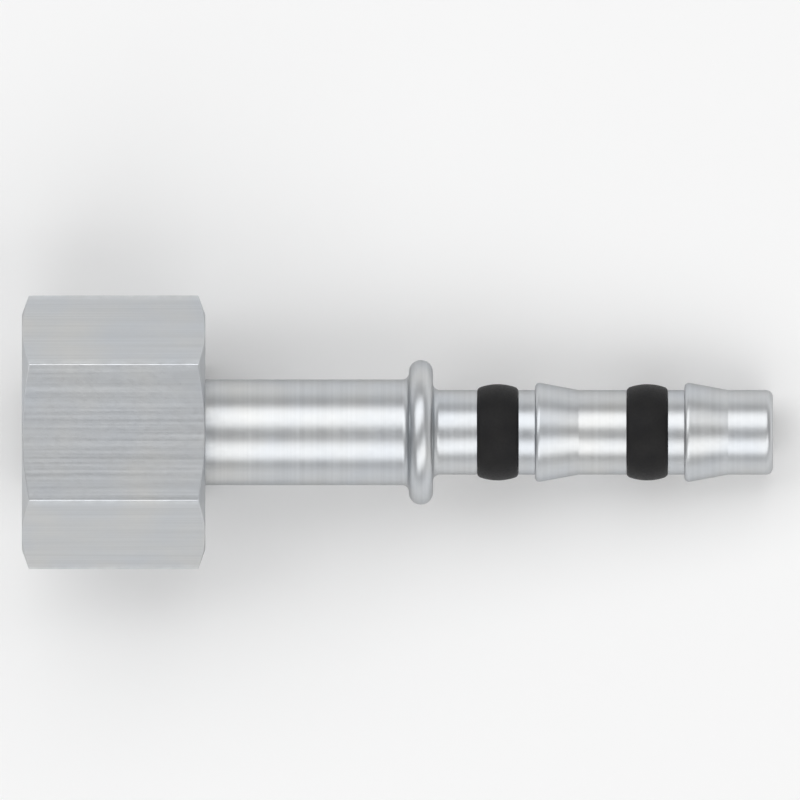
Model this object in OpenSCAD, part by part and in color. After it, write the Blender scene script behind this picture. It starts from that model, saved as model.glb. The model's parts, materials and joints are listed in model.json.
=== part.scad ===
// Straight hose fitting: a swivel nut on a flat-faced head, a tube with a bead,
// and a barbed hose tail with two seal rings.
// It lies on the rear edge of one of the nut's flats and on the tip of its tail.
// Lengths along the fitting are counted from the front face of the nut.

/* [Nut] */
// Hexagon width across the flats
hex_af = 22; // [20:0.5:30]
// Length of the nut
nut_len = 17; // [16:0.5:30]
// How far the chamfer circle on each end lies inside the flats
chamfer_inset = 0.1; // [0:0.05:0.4]
// Slope of the chamfer on the hexagon's corners, in degrees
chamfer_angle = 20; // [10:1:35]
// Corner break at both ends of the rear bore
rear_bore_break = 0.35; // [0.1:0.05:0.6]

/* [Thread] */
// Major diameter of the internal thread
thread_d = 17.46; // [16:0.02:18]
// Thread pitch
thread_pitch = 1.5875; // [0.8:0.0125:2]
// Width that the lead-in adds to the major radius at the nut's mouth
mouth_margin = 0.17; // [0:0.01:0.5]
// How far the thread's relief starts ahead of the sealing face
relief_lead = 0.15; // [0.05:0.05:0.5]
// How far the relief keeps its full depth behind the sealing face
relief_run = 1.65; // [0.5:0.05:1.7]
// Slope of the run-out from the relief to the bore, in degrees
run_out_angle = 35; // [30:1:60]

/* [Face-seal sleeve] */
// Depth of the sealing face inside the nut
face_depth = 8.9; // [5:0.1:11]
// Length of the head
head_len = 4.05; // [3:0.05:5]
// Corner break on the head
head_break = 0.3; // [0.1:0.05:0.6]
// Diameter of the neck that the nut turns on
neck_d = 13; // [12:0.1:13.2]
// Length of the straight neck
neck_len = 1.85; // [1:0.05:3]
// Length of the taper behind the neck
taper_len = 1.85; // [0.5:0.05:3]
// How far the taper comes in from the neck
taper_drop = 0.35; // [0:0.05:0.8]
// Metal between the sealing face and the end of the tube
face_wall = 2; // [1.5:0.1:2.8]

/* [Tube and bead] */
// Outside diameter of the tube
tube_d = 9.8; // [9:0.1:10.4]
// Bare length of tube between the sleeve and the bead
tube_len = 19.2; // [10:0.1:40]
// Diameter of the flow bore
bore_d = 4.8; // [3:0.1:5.2]
// Corner break at both mouths of the flow bore
bore_break = 0.25; // [0.1:0.05:0.4]
// Diameter over the bead
bead_d = 13.4; // [13.3:0.1:16]
// Width of the bead
bead_w = 2.25; // [1.5:0.05:2.8]
// Fillet where the bead meets the tube and the tail
bead_fillet = 0.6; // [0.1:0.05:0.8]

/* [Hose tail] */
// Diameter of the lands between the barbs
tail_d = 7.85; // [7.4:0.05:8.4]
// Land between the bead and the first seal ring
first_land = 4.1; // [2:0.05:8]
// Land between a seal ring and the barb behind it
short_land = 1.55; // [0.5:0.05:4]
// Land between the first barb and the second seal ring
long_land = 4.45; // [2:0.05:10]
// Height of a barb above the land, before its crest is rounded
barb_height = 0.75; // [0.4:0.05:1]
// Length of a barb
barb_len = 4.05; // [3:0.05:6]
// Rounding of a barb's crest
barb_round = 0.4; // [0.1:0.05:0.5]
// Land between the last barb and the end of the tail
tip_land = 4.15; // [2:0.05:8]
// Rounding of the end of the tail
tip_round = 0.65; // [0.2:0.05:1]

/* [Seal rings] */
// Width of the groove that holds a seal ring
groove_w = 3.8; // [3:0.05:5]
// Depth of that groove below the land
groove_depth = 0.8; // [0.5:0.05:0.9]
// Height of a ring's crown above the land
crown_height = 0.54; // [0.3:0.02:0.8]
// Height of a ring's shoulders above the land
shoulder_height = 0.24; // [0.05:0.01:0.25]
// Corner break on a ring's shoulders
ring_break = 0.2; // [0.05:0.05:0.3]

/* [Fits] */
// Radial clearance between the neck and the nut's rear bore
swivel_fit = 0.08; // [0.02:0.01:0.1]
// Radial clearance between the head and the crests of the thread
head_clearance = 0.22; // [0.1:0.01:0.4]
// Gap between the back of the head and the nut's shoulder
shoulder_gap = 0.05; // [0.02:0.01:0.2]
// Radial clearance for braze between the sleeve and the tube
braze_gap = 0.04; // [0.02:0.01:0.1]
// Clearance between a ring and each side of its groove
ring_side_gap = 0.05; // [0.02:0.01:0.15]
// Clearance between a ring and the groove's floor
ring_floor_gap = 0.02; // [0.01:0.01:0.05]

/* [Hidden] */
$fn = 96;
// How far a cut runs past the face it opens
past = 1;
// Depth of a 60 degree thread, as a share of its pitch
thread_depth_share = 0.54127;

// Radii
nut_flat_r = hex_af / 2;
nut_corner_r = nut_flat_r / cos(30);
chamfer_r = nut_flat_r - chamfer_inset;
thread_r = thread_d / 2;
nut_bore_r = thread_r - thread_depth_share * thread_pitch;
mouth_r = thread_r + mouth_margin;
head_r = nut_bore_r - head_clearance;
neck_r = neck_d / 2;
rear_bore_r = neck_r + swivel_fit;
tube_r = tube_d / 2;
bore_r = bore_d / 2;
tail_r = tail_d / 2;
groove_r = tail_r - groove_depth;

// Places along the fitting
relief_start = face_depth - relief_lead;
relief_end = face_depth + relief_run;
head_back = face_depth + head_len;
shoulder_at = head_back + shoulder_gap;
neck_end = head_back + neck_len;
sleeve_end = neck_end + taper_len;
tube_start = face_depth + face_wall;
bead_start = sleeve_end + tube_len;
bead_end = bead_start + bead_w;
front_groove_at = bead_end + first_land;
front_barb_at = front_groove_at + groove_w + short_land;
rear_groove_at = front_barb_at + barb_len + long_land;
rear_barb_at = rear_groove_at + groove_w + short_land;
tip_at = rear_barb_at + barb_len + tip_land;

// Rest on the ground: the nut's rear edge and the round end of the tail touch it
edge_at = nut_len - chamfer_inset * tan(chamfer_angle);
tip_centre_at = tip_at - tip_round;
tip_centre_r = tail_r - tip_round;
touch_run = tip_centre_at - edge_at;
touch_drop = nut_flat_r - tip_centre_r;
lie_angle = atan(touch_drop / touch_run) - asin(tip_round / norm([touch_run, touch_drop]));
axis_height = edge_at * sin(lie_angle) + nut_flat_r * cos(lie_angle);
low_x = -chamfer_r * sin(lie_angle);
high_x = tip_centre_at * cos(lie_angle) + tip_centre_r * sin(lie_angle) + tip_round;
mid_x = (low_x + high_x) / 2;

// Turns its children from the upright Z axis to the place where the fitting lies
module lie_down() {
    translate([-mid_x, 0, axis_height])
        rotate([0, 90 + lie_angle, 0])
            children();
}

// Rectangle between two radii and two places along the fitting
module band(inner_r, outer_r, from, to) {
    translate([inner_r, from])
        square([outer_r - inner_r, to - from]);
}

// Concave fillet in the corner at radius r and place at, on the given side of that place
module corner_fillet(r, at, radius, side) {
    translate([r, at])
        difference() {
            translate([0, side > 0 ? 0 : -radius])
                square(radius);
            translate([radius, side * radius])
                circle(radius);
        }
}

// Envelope of the hexagon, with the chamfers of its corners at both ends
module nut_envelope_outline() {
    outside_r = nut_corner_r + past;
    rise = (outside_r - chamfer_r) * tan(chamfer_angle);
    polygon([
        [0, 0],
        [chamfer_r, 0],
        [outside_r, rise],
        [outside_r, nut_len - rise],
        [chamfer_r, nut_len],
        [0, nut_len]
    ]);
}

// All that is cut from the nut: lead-in, threaded bore, relief, shoulder and rear bore
module nut_bore_outline() {
    run_out = (thread_r - nut_bore_r) / tan(run_out_angle);
    polygon([
        [0, -past],
        [mouth_r + past, -past],
        [nut_bore_r, mouth_r - nut_bore_r],
        [nut_bore_r, relief_start],
        [thread_r, relief_start],
        [thread_r, relief_end],
        [nut_bore_r, relief_end + run_out],
        [nut_bore_r, shoulder_at],
        [rear_bore_r + rear_bore_break, shoulder_at],
        [rear_bore_r, shoulder_at + rear_bore_break],
        [rear_bore_r, nut_len - rear_bore_break],
        [rear_bore_r + rear_bore_break + past, nut_len + past],
        [0, nut_len + past]
    ]);
}

module swivel_nut() {
    color("silver")
        lie_down()
            difference() {
                intersection() {
                    rotate(30)
                        cylinder(r = nut_corner_r, h = nut_len, $fn = 6);
                    rotate_extrude()
                        nut_envelope_outline();
                }
                rotate_extrude()
                    nut_bore_outline();
            }
}

module face_seal_sleeve() {
    socket_r = tube_r + braze_gap;
    color("silver")
        lie_down()
            rotate_extrude()
                polygon([
                    [bore_r + bore_break, face_depth],
                    [head_r - head_break, face_depth],
                    [head_r, face_depth + head_break],
                    [head_r, head_back - head_break],
                    [head_r - head_break, head_back],
                    [neck_r, head_back],
                    [neck_r, neck_end],
                    [neck_r - taper_drop, sleeve_end],
                    [socket_r, sleeve_end],
                    [socket_r, tube_start],
                    [bore_r, tube_start],
                    [bore_r, face_depth + bore_break]
                ]);
}

// Barb with its steep face towards the bead and its taper towards the tip
module barb_outline(at) {
    slope = atan(barb_height / barb_len);
    // The crest's circle touches both the steep face and the taper
    round_at = at + barb_round;
    round_centre_r = tail_r + barb_height - barb_round * (tan(slope) + 1 / cos(slope));
    polygon([
        [bore_r, at],
        [round_centre_r, at],
        [round_centre_r, round_at],
        [round_centre_r + barb_round * cos(slope), round_at + barb_round * sin(slope)],
        [tail_r, at + barb_len],
        [bore_r, at + barb_len]
    ]);
    translate([round_centre_r, round_at])
        circle(barb_round);
}

// Bead with a full round rim and a fillet on each side
module bead_outline() {
    rim_r = bead_w / 2;
    side_r = bead_d / 2 - rim_r;
    band(bore_r, side_r, bead_start, bead_end);
    translate([side_r, bead_start + rim_r])
        circle(rim_r);
    corner_fillet(tube_r, bead_start, min(bead_fillet, side_r - tube_r), -1);
    corner_fillet(tail_r, bead_end, min(bead_fillet, side_r - tail_r), 1);
}

// Land of the tail, from the bead to its rounded end
module tail_outline() {
    band(bore_r, tail_r, bead_start, tip_centre_at);
    band(bore_r, tip_centre_r, bead_start, tip_at);
    intersection() {
        translate([tip_centre_r, tip_centre_at])
            circle(tip_round);
        band(bore_r, tail_r, bead_start, tip_at);
    }
}

// Cone that breaks the flow bore's edge at the end of the tail
module bore_mouth_outline() {
    polygon([
        [bore_r - past, tip_at - bore_break - past],
        [bore_r + bore_break + past, tip_at + past],
        [bore_r - past, tip_at + past]
    ]);
}

module barbed_stem() {
    color("silver")
        lie_down()
            rotate_extrude()
                difference() {
                    union() {
                        band(bore_r, tube_r, tube_start, bead_end);
                        bead_outline();
                        tail_outline();
                        barb_outline(front_barb_at);
                        barb_outline(rear_barb_at);
                    }
                    for (at = [front_groove_at, rear_groove_at])
                        band(groove_r, tail_r + past, at, at + groove_w);
                    bore_mouth_outline();
                }
}

// Rubber ring with a barrel crown, seated in the groove that starts at the given place
module seal_ring(groove_at) {
    from = groove_at + ring_side_gap;
    to = groove_at + groove_w - ring_side_gap;
    floor_r = groove_r + ring_floor_gap;
    shoulder_r = tail_r + shoulder_height;
    half = (to - from) / 2 - ring_break;
    rise = crown_height - shoulder_height;
    crown_round = (half * half + rise * rise) / (2 * rise);
    color("dimgray")
        lie_down()
            rotate_extrude() {
                polygon([
                    [floor_r, from],
                    [shoulder_r - ring_break, from],
                    [shoulder_r, from + ring_break],
                    [shoulder_r, to - ring_break],
                    [shoulder_r - ring_break, to],
                    [floor_r, to]
                ]);
                intersection() {
                    band(floor_r, tail_r + crown_height, from + ring_break, to - ring_break);
                    translate([tail_r + crown_height - crown_round, (from + to) / 2])
                        circle(crown_round);
                }
            }
}

module front_seal_ring() {
    seal_ring(front_groove_at);
}

module rear_seal_ring() {
    seal_ring(rear_groove_at);
}

swivel_nut();
face_seal_sleeve();
barbed_stem();
front_seal_ring();
rear_seal_ring();
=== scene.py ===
"""Straight hose fitting with a swivel nut: its finish, its thread and the studio round it.

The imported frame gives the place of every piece. Each piece is turned about the fitting's own
axis: "along" is the distance from the nut's front face, and "out" the distance from the axis.
"""

import json
import math

import bmesh
import bpy
from mathutils import Matrix, Vector


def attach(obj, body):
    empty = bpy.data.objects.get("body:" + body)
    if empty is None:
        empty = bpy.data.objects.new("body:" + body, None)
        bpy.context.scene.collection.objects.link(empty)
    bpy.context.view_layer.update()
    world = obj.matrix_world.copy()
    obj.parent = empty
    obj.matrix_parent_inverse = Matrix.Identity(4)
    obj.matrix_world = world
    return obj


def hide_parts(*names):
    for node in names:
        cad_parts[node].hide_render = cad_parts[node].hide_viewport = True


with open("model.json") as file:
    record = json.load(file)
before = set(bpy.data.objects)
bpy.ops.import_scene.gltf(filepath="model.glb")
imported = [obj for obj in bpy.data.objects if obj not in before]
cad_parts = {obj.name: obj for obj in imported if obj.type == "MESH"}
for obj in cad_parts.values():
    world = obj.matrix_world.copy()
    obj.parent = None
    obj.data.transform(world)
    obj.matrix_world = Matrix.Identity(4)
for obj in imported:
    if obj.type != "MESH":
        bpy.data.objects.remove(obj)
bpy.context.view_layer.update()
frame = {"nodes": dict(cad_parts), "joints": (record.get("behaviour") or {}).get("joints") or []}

MM = 0.001

# Sizes of the fitting in millimetres, as in the part's source, for each piece in turn.
# A name that ends in OUT is a distance from the axis.

# Nut
HEX_FLAT_OUT = 11.0
NUT_LENGTH = 17.0
CHAMFER_INSET = 0.1
CHAMFER_ANGLE = math.radians(20)
REAR_BORE_BREAK = 0.35

# Thread, with its lead-in at the mouth and its relief beside the head
THREAD_OUT = 8.73
THREAD_PITCH = 1.5875
THREAD_DEPTH_SHARE = 0.54127
MOUTH_MARGIN = 0.17
RELIEF_RUN = 1.65
RUN_OUT_ANGLE = math.radians(35)

# Face-seal sleeve
FACE_DEPTH = 8.9
HEAD_LENGTH = 4.05
HEAD_BREAK = 0.3
NECK_OUT = 6.5
NECK_LENGTH = 1.85
TAPER_LENGTH = 1.85
TAPER_DROP = 0.35
FACE_WALL = 2.0

# Tube and bead
TUBE_OUT = 4.9
TUBE_LENGTH = 19.2
BORE_OUT = 2.4
BORE_BREAK = 0.25
BEAD_OUT = 6.7
BEAD_WIDTH = 2.25
BEAD_FILLET = 0.6

# Hose tail
TAIL_OUT = 3.925
FIRST_LAND = 4.1
SHORT_LAND = 1.55
LONG_LAND = 4.45
BARB_HEIGHT = 0.75
BARB_LENGTH = 4.05
BARB_ROUND = 0.4
TIP_LAND = 4.15
TIP_ROUND = 0.65

# Seal rings
GROOVE_WIDTH = 3.8
GROOVE_DEPTH = 0.8
CROWN_HEIGHT = 0.54
SHOULDER_HEIGHT = 0.24
RING_BREAK = 0.2

# Fits
SWIVEL_FIT = 0.08
HEAD_CLEARANCE = 0.22
SHOULDER_GAP = 0.05
BRAZE_GAP = 0.04
RING_FLOOR_GAP = 0.02

# Sizes that only the scene has. The rubber fills its groove nearly to the sides, and the
# braze's middle lies a share of its size from the corner that it fills.
EDGE_BREAK = 0.06
HEX_CORNER_ROUND = 0.2
CREST_ROUND = 0.07
ROOT_ROUND = 0.09
RING_SIDE_GAP = 0.01
RING_ROUND = 0.2
BRAZE_FILLET = 0.3
BRAZE_MIDDLE = 0.3

# Distances out from the axis, and places along it, that follow from the sizes
HEX_HALF_CORNER = math.radians(30)
CHAMFER_OUT = HEX_FLAT_OUT - CHAMFER_INSET
THREAD_DEPTH = THREAD_DEPTH_SHARE * THREAD_PITCH
NUT_BORE_OUT = THREAD_OUT - THREAD_DEPTH
MOUTH_OUT = THREAD_OUT + MOUTH_MARGIN
HEAD_OUT = NUT_BORE_OUT - HEAD_CLEARANCE
REAR_BORE_OUT = NECK_OUT + SWIVEL_FIT
SOCKET_OUT = TUBE_OUT + BRAZE_GAP
THREAD_START = MOUTH_OUT - THREAD_OUT
THREAD_END = FACE_DEPTH + RELIEF_RUN
RUN_OUT_END = THREAD_END + THREAD_DEPTH / math.tan(RUN_OUT_ANGLE)
HEAD_BACK = FACE_DEPTH + HEAD_LENGTH
NUT_SHOULDER = HEAD_BACK + SHOULDER_GAP
NECK_END = HEAD_BACK + NECK_LENGTH
SLEEVE_END = NECK_END + TAPER_LENGTH
TUBE_START = FACE_DEPTH + FACE_WALL
BEAD_START = SLEEVE_END + TUBE_LENGTH
BEAD_END = BEAD_START + BEAD_WIDTH
FRONT_GROOVE = BEAD_END + FIRST_LAND
FRONT_BARB = FRONT_GROOVE + GROOVE_WIDTH + SHORT_LAND
REAR_GROOVE = FRONT_BARB + BARB_LENGTH + LONG_LAND
REAR_BARB = REAR_GROOVE + GROOVE_WIDTH + SHORT_LAND
TIP = REAR_BARB + BARB_LENGTH + TIP_LAND

# Fineness of the meshes: steps round the axis, over a flat, a corner, an arc and a ring's crown
TURNED_STEPS = 176
FLAT_STEPS = 24
CORNER_STEPS = 6
ARC_STEPS = 6
THREAD_ARC_STEPS = 3
CROWN_STEPS = 16
# Points closer than this, in metres, become one
MERGE_DISTANCE = 1e-7
# Edges that bend more than this, in degrees, stay sharp
SHARP_ANGLE = 35
# The most of an edge that the arcs at its two ends may take up
EDGE_SHARE = 0.98

# The fitting's own axes, from the joint that the nut turns on
swivel = frame["joints"][0]
ALONG = Vector(swivel["axis"]).normalized()
SIDE = Vector((0, 1, 0))
UP = ALONG.cross(SIDE)
AXES = Matrix((ALONG, SIDE, UP))
front_face = min((AXES @ v.co).x for v in frame["nodes"]["swivel_nut"].data.vertices)
on_axis = AXES @ Vector(swivel["pos_m"])
ORIGIN = AXES.transposed() @ Vector((front_face, on_axis.y, on_axis.z))


def place(along, out, angle):
    """Point at a distance along and out from the axis, in metres."""
    turned = SIDE * math.cos(angle) + UP * math.sin(angle)
    return ORIGIN + (ALONG * along + turned * out) * MM


def around(angle, out):
    """Point of a cross-section at an angle and a distance out."""
    return Vector((math.cos(angle), math.sin(angle))) * out


# Mesh code


def arc_reaches(corners, radii):
    """How far each corner's arc reaches along its edges, and the share of it that fits there."""
    reach = [0.0] * len(corners)
    for i in range(1, len(corners) - 1):
        half = (corners[i - 1] - corners[i]).angle(corners[i + 1] - corners[i]) / 2
        reach[i] = radii[i] / math.tan(half)
    # Two arcs that would overlap on an edge share it by their radii
    share = [1.0] * len(corners)
    for i in range(len(corners) - 1):
        both = reach[i] + reach[i + 1]
        edge = EDGE_SHARE * (corners[i + 1] - corners[i]).length
        if both > edge:
            share[i] = min(share[i], edge / both)
            share[i + 1] = min(share[i + 1], edge / both)
    return reach, share


def eased(outline, steps=ARC_STEPS):
    """Points of an open outline of (along, out, radius) corners, with an arc at each corner."""
    corners = [Vector(corner[:2]) for corner in outline]
    reach, share = arc_reaches(corners, [corner[2] for corner in outline])
    points = []
    for i, here in enumerate(corners):
        if reach[i] == 0:
            points.append(here)
            continue
        back = (corners[i - 1] - here).normalized()
        ahead = (corners[i + 1] - here).normalized()
        half = back.angle(ahead) / 2
        middle = here + (back + ahead).normalized() * share[i] * reach[i] / math.cos(half)
        start = here + back * share[i] * reach[i] - middle
        end = here + ahead * share[i] * reach[i] - middle
        sweep = start.angle_signed(end)
        for k in range(steps + 1):
            points.append(middle + Matrix.Rotation(-sweep * k / steps, 2) @ start)
    return points


def finish_mesh(name, mesh_data, materials):
    """Object from a bmesh, with clean normals and its materials."""
    bmesh.ops.remove_doubles(mesh_data, verts=mesh_data.verts, dist=MERGE_DISTANCE)
    bmesh.ops.dissolve_degenerate(mesh_data, edges=mesh_data.edges, dist=MERGE_DISTANCE)
    bmesh.ops.recalc_face_normals(mesh_data, faces=mesh_data.faces)
    mesh = bpy.data.meshes.new(name)
    mesh_data.to_mesh(mesh)
    mesh_data.free()
    for material in materials:
        mesh.materials.append(material)
    mesh.polygons.foreach_set("use_smooth", [True] * len(mesh.polygons))
    mesh.set_sharp_from_angle(angle=math.radians(SHARP_ANGLE))
    piece = bpy.data.objects.new(name, mesh)
    bpy.context.scene.collection.objects.link(piece)
    weighted = piece.modifiers.new("even normals", "WEIGHTED_NORMAL")
    weighted.keep_sharp = True
    return piece


def add_rows(mesh_data, rows, closed, material_of_row):
    """Quads between rows of vertices that run round the axis. A closed set joins last to first."""
    made = [[mesh_data.verts.new(point) for point in row] for row in rows]
    count = len(made)
    columns = len(made[0])
    for i in range(count if closed else count - 1):
        lower = made[i]
        upper = made[(i + 1) % count]
        for j in range(columns):
            k = (j + 1) % columns
            face = mesh_data.faces.new((lower[j], lower[k], upper[k], upper[j]))
            face.material_index = material_of_row(i)


def turned_piece(name, outline, material):
    """Solid of revolution from a closed outline of eased corners."""
    points = eased(outline + [outline[0]])[:-1]
    angles = [2 * math.pi * j / TURNED_STEPS for j in range(TURNED_STEPS)]
    rows = [[place(p.x, p.y, a) for a in angles] for p in points]
    mesh_data = bmesh.new()
    add_rows(mesh_data, rows, True, lambda i: 0)
    return finish_mesh(name, mesh_data, [material])


# Materials

# The values between which most of a noise lies
NOISE_LOW = 0.3
NOISE_HIGH = 0.7

# Zinc plate: its two tints, the tone of its glancing reflections, and how the tool marks shade it
ZINC_COOL = (0.575, 0.60, 0.63)
ZINC_WARM = (0.62, 0.625, 0.62)
ZINC_GLANCING = (0.7, 0.7, 0.7, 1)
MARK_DARK = 0.93
MARK_PALE = 1.04
# Tool marks and grain vary the roughness in these shares, by so much less and more. Nothing
# gets smoother than SMOOTHEST.
MARK_SHARE = 0.6
GRAIN_SHARE = 0.4
SMOOTHER = 0.04
ROUGHER = 0.06
SMOOTHEST = 0.29
GRAIN_DEPTH = 0.0012
# Scale along the axis that draws a noise out into the marks of drawn bar
DRAWN_STRETCH = 0.012

# Distances out from the axis between which the hexagon's corners get worn, and what wear does
WORN_START = 12.25
WORN_END = 12.6
WORN_LEAST = 0.15
WORN_PALER = 0.16
WORN_SMOOTHER = 0.07

# Rubber
RUBBER_DARK = (0.007, 0.007, 0.008)
RUBBER_PALE = (0.012, 0.0115, 0.0115)
RUBBER_SHINE = 0.22
RUBBER_SMOOTH = 0.48
RUBBER_ROUGH = 0.62
SKIN_DEPTH = 0.012

# Noises over a point in millimetres. The tool marks bring a scale of their own.
GRAIN = {"scale": 2.4, "detail": 1.0, "roughness": 0.5}
TINT_CLOUD = {"scale": 0.16, "detail": 2.0, "roughness": 0.5}
WEAR = {"scale": 0.9, "detail": 2.0, "roughness": 0.5}
RUBBER_SKIN = {"scale": 5.0, "detail": 4.0, "roughness": 0.6}
RUBBER_BLOOM = {"scale": 0.5, "detail": 2.0, "roughness": 0.5}
MARK_DETAIL = {"detail": 2.0, "roughness": 0.55}


class Nodes:
    """Short way to write a material's node tree."""

    def __init__(self, name):
        self.material = bpy.data.materials.new(name)
        self.material.use_nodes = True
        self.tree = self.material.node_tree
        self.shader = self.tree.nodes["Principled BSDF"]

    def add(self, kind, inputs=None, **settings):
        """Node of a kind, with its settings, and values or links for its inputs."""
        node = self.tree.nodes.new(kind)
        for key, value in settings.items():
            setattr(node, key, value)
        for key, value in (inputs or {}).items():
            self.set(node.inputs[key], value)
        return node

    def set(self, socket, value):
        """Links an output to the socket, or sets the socket's own value."""
        if isinstance(value, bpy.types.NodeSocket):
            self.tree.links.new(value, socket)
        else:
            socket.default_value = value

    def math(self, operation, *values):
        node = self.add("ShaderNodeMath", operation=operation)
        for socket, value in zip(node.inputs, values):
            self.set(socket, value)
        return node.outputs[0]

    def vector(self, operation, inputs):
        return self.add("ShaderNodeVectorMath", inputs, operation=operation).outputs[0]

    def fitting_place(self):
        """(point in the fitting's axes in mm, distance along, distance out) as sockets."""
        in_metres = self.add("ShaderNodeTexCoord").outputs["Object"]
        turned = self.add(
            "ShaderNodeMapping",
            {
                "Vector": self.vector("SCALE", {0: in_metres, "Scale": 1 / MM}),
                "Rotation": AXES.to_euler(),
                "Location": -(AXES @ ORIGIN) / MM,
            },
            vector_type="POINT",
        )
        parts = self.add("ShaderNodeSeparateXYZ", {0: turned.outputs[0]})
        across = self.math("MULTIPLY", parts.outputs[1], parts.outputs[1])
        upward = self.math("MULTIPLY", parts.outputs[2], parts.outputs[2])
        out = self.math("SQRT", self.math("ADD", across, upward))
        return turned.outputs[0], parts.outputs[0], out

    def noise(self, vector, scale, detail, roughness):
        return self.add(
            "ShaderNodeTexNoise",
            {"Vector": vector, "Scale": scale, "Detail": detail, "Roughness": roughness},
        ).outputs["Fac"]

    def spread(self, value, low, high, start=NOISE_LOW, end=NOISE_HIGH):
        """Maps start..end, by default where noise mostly lies, to low..high."""
        node = self.add(
            "ShaderNodeMapRange",
            {"Value": value, "From Min": start, "From Max": end, "To Min": low, "To Max": high},
        )
        return node.outputs["Result"]

    def tint(self, value, first, second):
        """Fades from the first colour to the second where noise mostly lies."""
        ramp = self.add("ShaderNodeValToRGB", {"Fac": value})
        stops = ((NOISE_LOW, first), (NOISE_HIGH, second))
        for element, (position, colour) in zip(ramp.color_ramp.elements, stops):
            element.position = position
            element.color = (*colour, 1)
        return ramp.outputs["Color"]

    def bump(self, height):
        """Relief of the surface from a height in millimetres."""
        node = self.add("ShaderNodeBump", {"Height": height, "Distance": MM, "Strength": 1.0})
        self.set(self.shader.inputs["Normal"], node.outputs["Normal"])


def tool_marks(nodes, lines, scale, point, along, out):
    """Noise drawn out into lines: "round" the axis, as on a lathe, or "long", as on drawn bar."""
    if lines == "round":
        marks_at = nodes.add("ShaderNodeCombineXYZ", {0: along, 1: out}).outputs[0]
    else:
        marks_at = nodes.vector("MULTIPLY", {0: point, 1: (DRAWN_STRETCH, 1, 1)})
    return nodes.noise(marks_at, scale, **MARK_DETAIL)


def zinc_plate(name, lines, line_scale, line_depth, roughness):
    """Bright zinc over machined steel, with tool marks of the given kind, scale and depth."""
    nodes = Nodes(name)
    point, along, out = nodes.fitting_place()
    marks = tool_marks(nodes, lines, line_scale, point, along, out)
    grain = nodes.noise(point, **GRAIN)
    # Handling polishes the nut's corners in patches
    worn = nodes.math(
        "MULTIPLY",
        nodes.spread(out, 0, 1, WORN_START, WORN_END),
        nodes.spread(nodes.noise(point, **WEAR), WORN_LEAST, 1),
    )
    shader = nodes.shader
    colour = nodes.tint(nodes.noise(point, **TINT_CLOUD), ZINC_COOL, ZINC_WARM)
    marked = nodes.spread(marks, MARK_DARK, MARK_PALE)
    shade = nodes.math("ADD", marked, nodes.math("MULTIPLY", worn, WORN_PALER))
    nodes.set(shader.inputs["Base Color"], nodes.vector("SCALE", {0: colour, "Scale": shade}))
    shader.inputs["Metallic"].default_value = 1.0
    shader.inputs["Specular Tint"].default_value = ZINC_GLANCING
    mixed = nodes.math(
        "ADD",
        nodes.math("MULTIPLY", marks, MARK_SHARE),
        nodes.math("MULTIPLY", grain, GRAIN_SHARE),
    )
    plain = nodes.spread(mixed, roughness - SMOOTHER, roughness + ROUGHER)
    polished = nodes.math("SUBTRACT", plain, nodes.math("MULTIPLY", worn, WORN_SMOOTHER))
    nodes.set(shader.inputs["Roughness"], nodes.math("MAXIMUM", polished, SMOOTHEST))
    lines_height = nodes.math("MULTIPLY", marks, line_depth)
    grain_height = nodes.math("MULTIPLY", grain, GRAIN_DEPTH)
    nodes.bump(nodes.math("ADD", lines_height, grain_height))
    return nodes.material


def seal_rubber():
    """Black moulded rubber with a dull skin."""
    nodes = Nodes("seal_rubber")
    point = nodes.fitting_place()[0]
    skin = nodes.noise(point, **RUBBER_SKIN)
    bloom = nodes.noise(point, **RUBBER_BLOOM)
    shader = nodes.shader
    nodes.set(shader.inputs["Base Color"], nodes.tint(bloom, RUBBER_DARK, RUBBER_PALE))
    shader.inputs["Specular IOR Level"].default_value = RUBBER_SHINE
    nodes.set(shader.inputs["Roughness"], nodes.spread(skin, RUBBER_SMOOTH, RUBBER_ROUGH))
    nodes.bump(nodes.math("MULTIPLY", skin, SKIN_DEPTH))
    return nodes.material


# Nut


def hexagon_columns():
    """(angle, distance out) of each column round the nut, with its corners rounded."""
    corner_out = HEX_FLAT_OUT / math.cos(HEX_HALF_CORNER)
    middle_out = corner_out - HEX_CORNER_ROUND / math.cos(HEX_HALF_CORNER)

    def on_corner(turn, facing):
        return around(turn, middle_out) + around(facing, HEX_CORNER_ROUND)

    columns = []
    for side in range(6):
        turn = math.radians(60 * side)
        facings = [turn + math.radians(-30 + 60 * k / CORNER_STEPS) for k in range(CORNER_STEPS + 1)]
        arc = [on_corner(turn, facing) for facing in facings]
        next_turn = turn + math.radians(60)
        flat_end = on_corner(next_turn, next_turn - HEX_HALF_CORNER)
        flat = [arc[-1].lerp(flat_end, k / FLAT_STEPS) for k in range(1, FLAT_STEPS)]
        columns += [(math.atan2(p.y, p.x), p.length) for p in arc + flat]
    return columns


def even_angles(count):
    """Evenly spaced angles, the first column's middle at the hexagon's first corner."""
    return [2 * math.pi * (j - CORNER_STEPS / 2) / count for j in range(count)]


def thread_outline():
    """One pitch of the internal thread as (along, out) points, crest first."""
    # The flats of a 60 degree internal thread are these shares of its pitch
    crest = THREAD_PITCH / 4
    root = THREAD_PITCH / 8
    flank = (THREAD_PITCH - crest - root) / 2
    half_way_out = (NUT_BORE_OUT + THREAD_OUT) / 2
    corners = [
        (-flank / 2, half_way_out, 0),
        (0, NUT_BORE_OUT, CREST_ROUND),
        (crest, NUT_BORE_OUT, CREST_ROUND),
        (crest + flank, THREAD_OUT, ROOT_ROUND),
        (crest + flank + root, THREAD_OUT, ROOT_ROUND),
        (THREAD_PITCH - flank / 2, half_way_out, 0),
    ]
    return eased(corners, THREAD_ARC_STEPS)[:-1]


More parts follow.
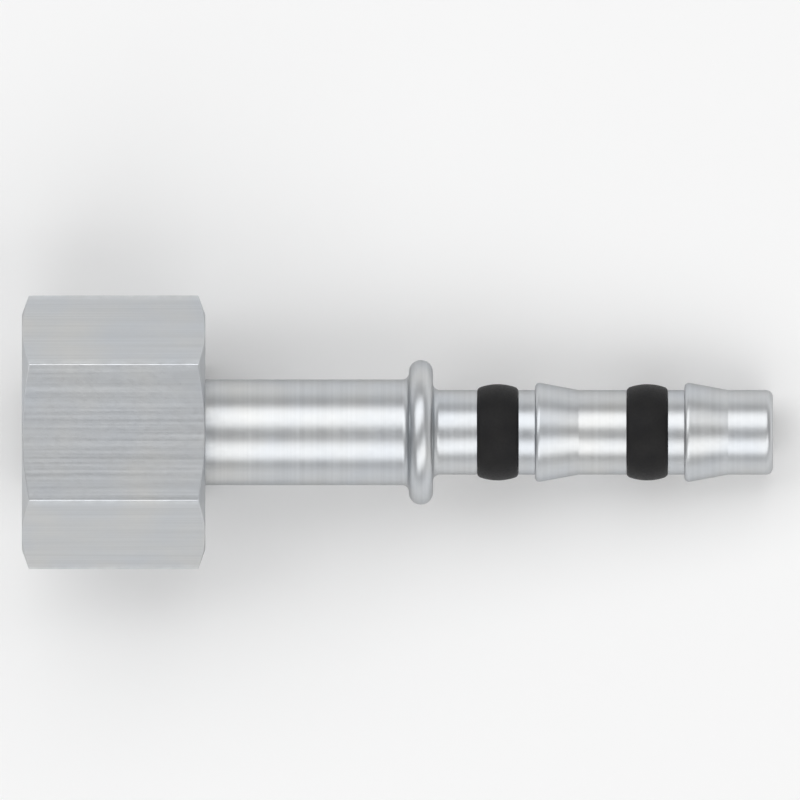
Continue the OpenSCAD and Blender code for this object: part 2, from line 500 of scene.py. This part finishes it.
def thread_rows(angles):
    """Rows of the helical thread, from where it meets the lead-in to the end of its run-out."""
    turns = math.ceil((RUN_OUT_END - THREAD_START) / THREAD_PITCH) + 2
    count = len(angles)
    slope = math.tan(RUN_OUT_ANGLE)
    rows = []
    for turn in range(turns):
        for point in thread_outline():
            row = []
            for j in range(count + 1):
                along = THREAD_START + (turn - 1 + j / count) * THREAD_PITCH + point.x
                out = max(point.y, MOUTH_OUT - along)
                out = min(out, THREAD_OUT - max(0, along - THREAD_END) * slope)
                if along <= THREAD_START:
                    along, out = THREAD_START, THREAD_OUT
                if along >= RUN_OUT_END:
                    along, out = RUN_OUT_END, NUT_BORE_OUT
                row.append(place(along, out, angles[j % count]))
            rows.append(row)
    return rows


def add_thread(mesh_data, angles):
    """The thread's rows don't close on themselves: each ends one pitch further on."""
    made = [[mesh_data.verts.new(point) for point in row] for row in thread_rows(angles)]
    for lower, upper in zip(made, made[1:]):
        for j in range(len(angles)):
            corners = (lower[j], lower[j + 1], upper[j + 1], upper[j])
            unlike = {tuple(round(c / MERGE_DISTANCE) for c in v.co) for v in corners}
            if len(unlike) > 2:
                mesh_data.faces.new(corners).material_index = 1


def nut_outline(hex_out):
    """Section of the nut without its thread, from the lead-in round to the run-out."""
    chamfer_along = (hex_out - CHAMFER_OUT) * math.tan(CHAMFER_ANGLE)
    return [
        (THREAD_START, THREAD_OUT, 0),
        (0, MOUTH_OUT, EDGE_BREAK),
        (0, CHAMFER_OUT, EDGE_BREAK),
        (chamfer_along, hex_out, 2 * EDGE_BREAK),
        (NUT_LENGTH - chamfer_along, hex_out, 2 * EDGE_BREAK),
        (NUT_LENGTH, CHAMFER_OUT, EDGE_BREAK),
        (NUT_LENGTH, REAR_BORE_OUT + REAR_BORE_BREAK, EDGE_BREAK),
        (NUT_LENGTH - REAR_BORE_BREAK, REAR_BORE_OUT, EDGE_BREAK),
        (NUT_SHOULDER + REAR_BORE_BREAK, REAR_BORE_OUT, EDGE_BREAK),
        (NUT_SHOULDER, REAR_BORE_OUT + REAR_BORE_BREAK, EDGE_BREAK),
        (NUT_SHOULDER, NUT_BORE_OUT, 0),
        (RUN_OUT_END, NUT_BORE_OUT, 0),
    ]


def make_nut(drawn, turned):
    """Hexagon nut of drawn bar, with turned ends, a lead-in, a helical thread and a rear bore."""
    columns = hexagon_columns()
    angles = even_angles(len(columns))
    sections = [eased(nut_outline(hex_out)) for _, hex_out in columns]
    # Rows of the outline's third to sixth corners follow the hexagon, all others are even
    arc_points = ARC_STEPS + 1
    hexagon_rows = range(1 + arc_points, 1 + 5 * arc_points)
    flat_row = 3 * arc_points
    rows = []
    for i in range(len(sections[0])):
        row = []
        for section, (angle, _), even in zip(sections, columns, angles):
            row.append(place(section[i].x, section[i].y, angle if i in hexagon_rows else even))
        rows.append(row)
    mesh_data = bmesh.new()
    add_rows(mesh_data, rows, False, lambda i: 0 if i == flat_row else 1)
    add_thread(mesh_data, angles)
    return finish_mesh("nut_body", mesh_data, [drawn, turned])


# Sleeve, stem and seal rings


def make_sleeve(material):
    """Flat-faced head with its neck and taper, and the socket round the tube."""
    return turned_piece(
        "face_seal_head",
        [
            (FACE_DEPTH, (BORE_OUT + HEAD_OUT) / 2, 0),
            (FACE_DEPTH, HEAD_OUT - HEAD_BREAK, EDGE_BREAK),
            (FACE_DEPTH + HEAD_BREAK, HEAD_OUT, EDGE_BREAK),
            (HEAD_BACK - HEAD_BREAK, HEAD_OUT, EDGE_BREAK),
            (HEAD_BACK, HEAD_OUT - HEAD_BREAK, EDGE_BREAK),
            (HEAD_BACK, NECK_OUT, EDGE_BREAK),
            (NECK_END, NECK_OUT, 2 * EDGE_BREAK),
            (SLEEVE_END, NECK_OUT - TAPER_DROP, 2 * EDGE_BREAK),
            (SLEEVE_END, SOCKET_OUT, 0),
            (TUBE_START, SOCKET_OUT, 0),
            (TUBE_START, BORE_OUT, 0),
            (FACE_DEPTH + BORE_BREAK, BORE_OUT, EDGE_BREAK),
            (FACE_DEPTH, BORE_OUT + BORE_BREAK, EDGE_BREAK),
        ],
        material,
    )


def make_braze(material):
    """Thin hollow fillet of braze in the corner between the sleeve's end and the tube."""
    middle = BRAZE_MIDDLE * BRAZE_FILLET
    return turned_piece(
        "braze_fillet",
        [
            (SLEEVE_END, SOCKET_OUT, 0),
            (SLEEVE_END, TUBE_OUT + BRAZE_FILLET, 0),
            (SLEEVE_END + middle, TUBE_OUT + middle, BRAZE_FILLET),
            (SLEEVE_END + BRAZE_FILLET, TUBE_OUT, 0),
            (SLEEVE_END, TUBE_OUT, 0),
        ],
        material,
    )


def groove_outline(start):
    """Groove of a seal ring, from its front edge to its rear edge."""
    land = (TAIL_OUT, EDGE_BREAK)
    floor = (TAIL_OUT - GROOVE_DEPTH, EDGE_BREAK)
    return [
        (start, *land),
        (start, *floor),
        (start + GROOVE_WIDTH, *floor),
        (start + GROOVE_WIDTH, *land),
    ]


def barb_outline(start):
    """Barb with its steep face towards the bead and its taper towards the tip."""
    return [
        (start, TAIL_OUT, EDGE_BREAK),
        (start, TAIL_OUT + BARB_HEIGHT, BARB_ROUND),
        (start + BARB_LENGTH, TAIL_OUT, BARB_ROUND),
    ]


def make_stem(material):
    """Tube, bead and barbed tail, turned in one piece with the flow bore through it."""
    rim = BEAD_WIDTH / 2
    return turned_piece(
        "stem_body",
        [
            (TUBE_START, (BORE_OUT + TUBE_OUT) / 2, 0),
            (TUBE_START, TUBE_OUT, EDGE_BREAK),
            (BEAD_START, TUBE_OUT, BEAD_FILLET),
            (BEAD_START, BEAD_OUT, rim),
            (BEAD_END, BEAD_OUT, rim),
            (BEAD_END, TAIL_OUT, BEAD_FILLET),
            *groove_outline(FRONT_GROOVE),
            *barb_outline(FRONT_BARB),
            *groove_outline(REAR_GROOVE),
            *barb_outline(REAR_BARB),
            (TIP, TAIL_OUT, TIP_ROUND),
            (TIP, BORE_OUT + BORE_BREAK, EDGE_BREAK),
            (TIP - BORE_BREAK, BORE_OUT, EDGE_BREAK),
            (TUBE_START, BORE_OUT, 0),
        ],
        material,
    )


def crown_outline(start, end):
    """Round crown of a seal ring between its two shoulders."""
    half = (end - start) / 2 - RING_BREAK
    rise = CROWN_HEIGHT - SHOULDER_HEIGHT
    crown_round = (half * half + rise * rise) / (2 * rise)
    reach = math.asin(half / crown_round)
    middle = (start + end) / 2
    points = []
    for k in range(CROWN_STEPS + 1):
        a = reach * (2 * k / CROWN_STEPS - 1)
        out = TAIL_OUT + CROWN_HEIGHT - crown_round * (1 - math.cos(a))
        ease = RING_ROUND if k in (0, CROWN_STEPS) else 0
        points.append((middle + crown_round * math.sin(a), out, ease))
    return points


def make_ring(name, groove, material):
    """Rubber ring with a barrel crown, in the groove that starts at the given place."""
    start = groove + RING_SIDE_GAP
    end = groove + GROOVE_WIDTH - RING_SIDE_GAP
    floor = TAIL_OUT - GROOVE_DEPTH + RING_FLOOR_GAP
    side_top = TAIL_OUT + SHOULDER_HEIGHT - RING_BREAK
    return turned_piece(
        name,
        [
            ((start + end) / 2, floor, 0),
            (start, floor, EDGE_BREAK),
            (start, side_top, RING_ROUND),
            *crown_outline(start, end),
            (end, side_top, RING_ROUND),
            (end, floor, EDGE_BREAK),
        ],
        material,
    )


def dress(piece, body, slot, *nodes):
    """Puts a piece on its body and hides the nodes that it stands for. The slot is not used."""
    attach(piece, body)
    if nodes:
        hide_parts(*nodes)
    return piece


# Studio, in metres

FLOOR_REACH = 4.0
FLOOR_COLOUR = (0.95, 0.95, 0.95, 1)
# Grey levels of the room, by height: 0.5 is the horizon and 1 is straight up
ROOM_LEVELS = [(0.5, 0.93), (0.63, 0.42), (0.85, 0.44), (1.0, 0.42)]
LAMP_AIM = Vector((0, 0, 0.01))

# The drawing is 800 pixels wide, and the nut's 22 mm across flats cover 237.4 of them
DRAWING_PIXELS = 800
MM_PER_PIXEL = 2 * HEX_FLAT_OUT / 237.4
FRONT_FACE_PIXEL = 21.9
AXIS_PIXEL = 432.3
CAMERA_DISTANCE = 400


def make_floor():
    """Plain pale ground that the fitting lies on."""
    mesh = bpy.data.meshes.new("ground")
    sides = ((-1, -1), (1, -1), (1, 1), (-1, 1))
    corners = [(x * FLOOR_REACH, y * FLOOR_REACH, 0) for x, y in sides]
    mesh.from_pydata(corners, [], [(0, 1, 2, 3)])
    floor = bpy.data.objects.new("ground", mesh)
    bpy.context.scene.collection.objects.link(floor)
    nodes = Nodes("ground_paper")
    nodes.shader.inputs["Base Color"].default_value = FLOOR_COLOUR
    nodes.shader.inputs["Roughness"].default_value = 1.0
    nodes.shader.inputs["Specular IOR Level"].default_value = 0.0
    mesh.materials.append(nodes.material)


def make_world():
    """Soft room: pale at the horizon, and mid grey from a little above it to overhead."""
    world = bpy.data.worlds.new("room")
    bpy.context.scene.world = world
    world.use_nodes = True
    tree = world.node_tree
    background = tree.nodes["Background"]
    direction = tree.nodes.new("ShaderNodeTexCoord")
    parts = tree.nodes.new("ShaderNodeSeparateXYZ")
    height = tree.nodes.new("ShaderNodeMapRange")
    height.inputs["From Min"].default_value = -1
    ramp = tree.nodes.new("ShaderNodeValToRGB")
    tree.links.new(direction.outputs["Generated"], parts.inputs[0])
    tree.links.new(parts.outputs["Z"], height.inputs["Value"])
    tree.links.new(height.outputs["Result"], ramp.inputs["Fac"])
    tree.links.new(ramp.outputs["Color"], background.inputs["Color"])
    elements = ramp.color_ramp.elements
    for position, _ in ROOM_LEVELS[1:-1]:
        elements.new(position)
    for element, (position, level) in zip(elements, ROOM_LEVELS):
        element.position = position
        element.color = (level, level, level, 1)
    background.inputs["Strength"].default_value = 1.0


def make_lamp(name, position, size, power):
    """Soft box that looks at the middle of the fitting."""
    light = bpy.data.lights.new(name, "AREA")
    light.shape = "RECTANGLE"
    light.size, light.size_y = size
    light.energy = power
    lamp = bpy.data.objects.new(name, light)
    bpy.context.scene.collection.objects.link(lamp)
    lamp.location = position
    aim = LAMP_AIM - Vector(position)
    lamp.rotation_euler = aim.to_track_quat("-Z", "Y").to_euler()


def make_camera():
    """Looks square on to the fitting's axis from above, as the drawing does."""
    camera = bpy.data.cameras.new("camera")
    camera.type = "ORTHO"
    camera.ortho_scale = DRAWING_PIXELS * MM_PER_PIXEL * MM
    eye = bpy.data.objects.new("camera", camera)
    bpy.context.scene.collection.objects.link(eye)
    along = (DRAWING_PIXELS / 2 - FRONT_FACE_PIXEL) * MM_PER_PIXEL
    across = (AXIS_PIXEL - DRAWING_PIXELS / 2) * MM_PER_PIXEL
    eye.location = ORIGIN + (ALONG * along + SIDE * across + UP * CAMERA_DISTANCE) * MM
    eye.rotation_euler = AXES.transposed().to_euler()
    bpy.context.scene.camera = eye


drawn_zinc = zinc_plate(
    "zinc_on_drawn_bar", lines="long", line_scale=3.2, line_depth=0.002, roughness=0.37
)
turned_zinc = zinc_plate(
    "zinc_on_turned_steel", lines="round", line_scale=2.6, line_depth=0.005, roughness=0.33
)
rubber = seal_rubber()

dress(make_nut(drawn_zinc, turned_zinc), "nut", "zinc_plated_nut", "swivel_nut")
dress(make_sleeve(turned_zinc), "stem", "zinc_plated_steel", "face_seal_sleeve")
dress(make_braze(turned_zinc), "stem", "zinc_plated_steel")
dress(make_stem(turned_zinc), "stem", "zinc_plated_steel", "barbed_stem")
dress(make_ring("front_ring", FRONT_GROOVE, rubber), "stem", "seal_rubber", "front_seal_ring")
dress(make_ring("rear_ring", REAR_GROOVE, rubber), "stem", "seal_rubber", "rear_seal_ring")

make_floor()
make_world()
make_lamp("key", position=(-0.1, 0.35, 0.6), size=(1.1, 0.56), power=2.6)
make_lamp("fill", position=(0.12, -0.42, 0.5), size=(1.1, 0.46), power=2.05)
make_camera()
bpy.context.scene.view_settings.view_transform = "Standard"
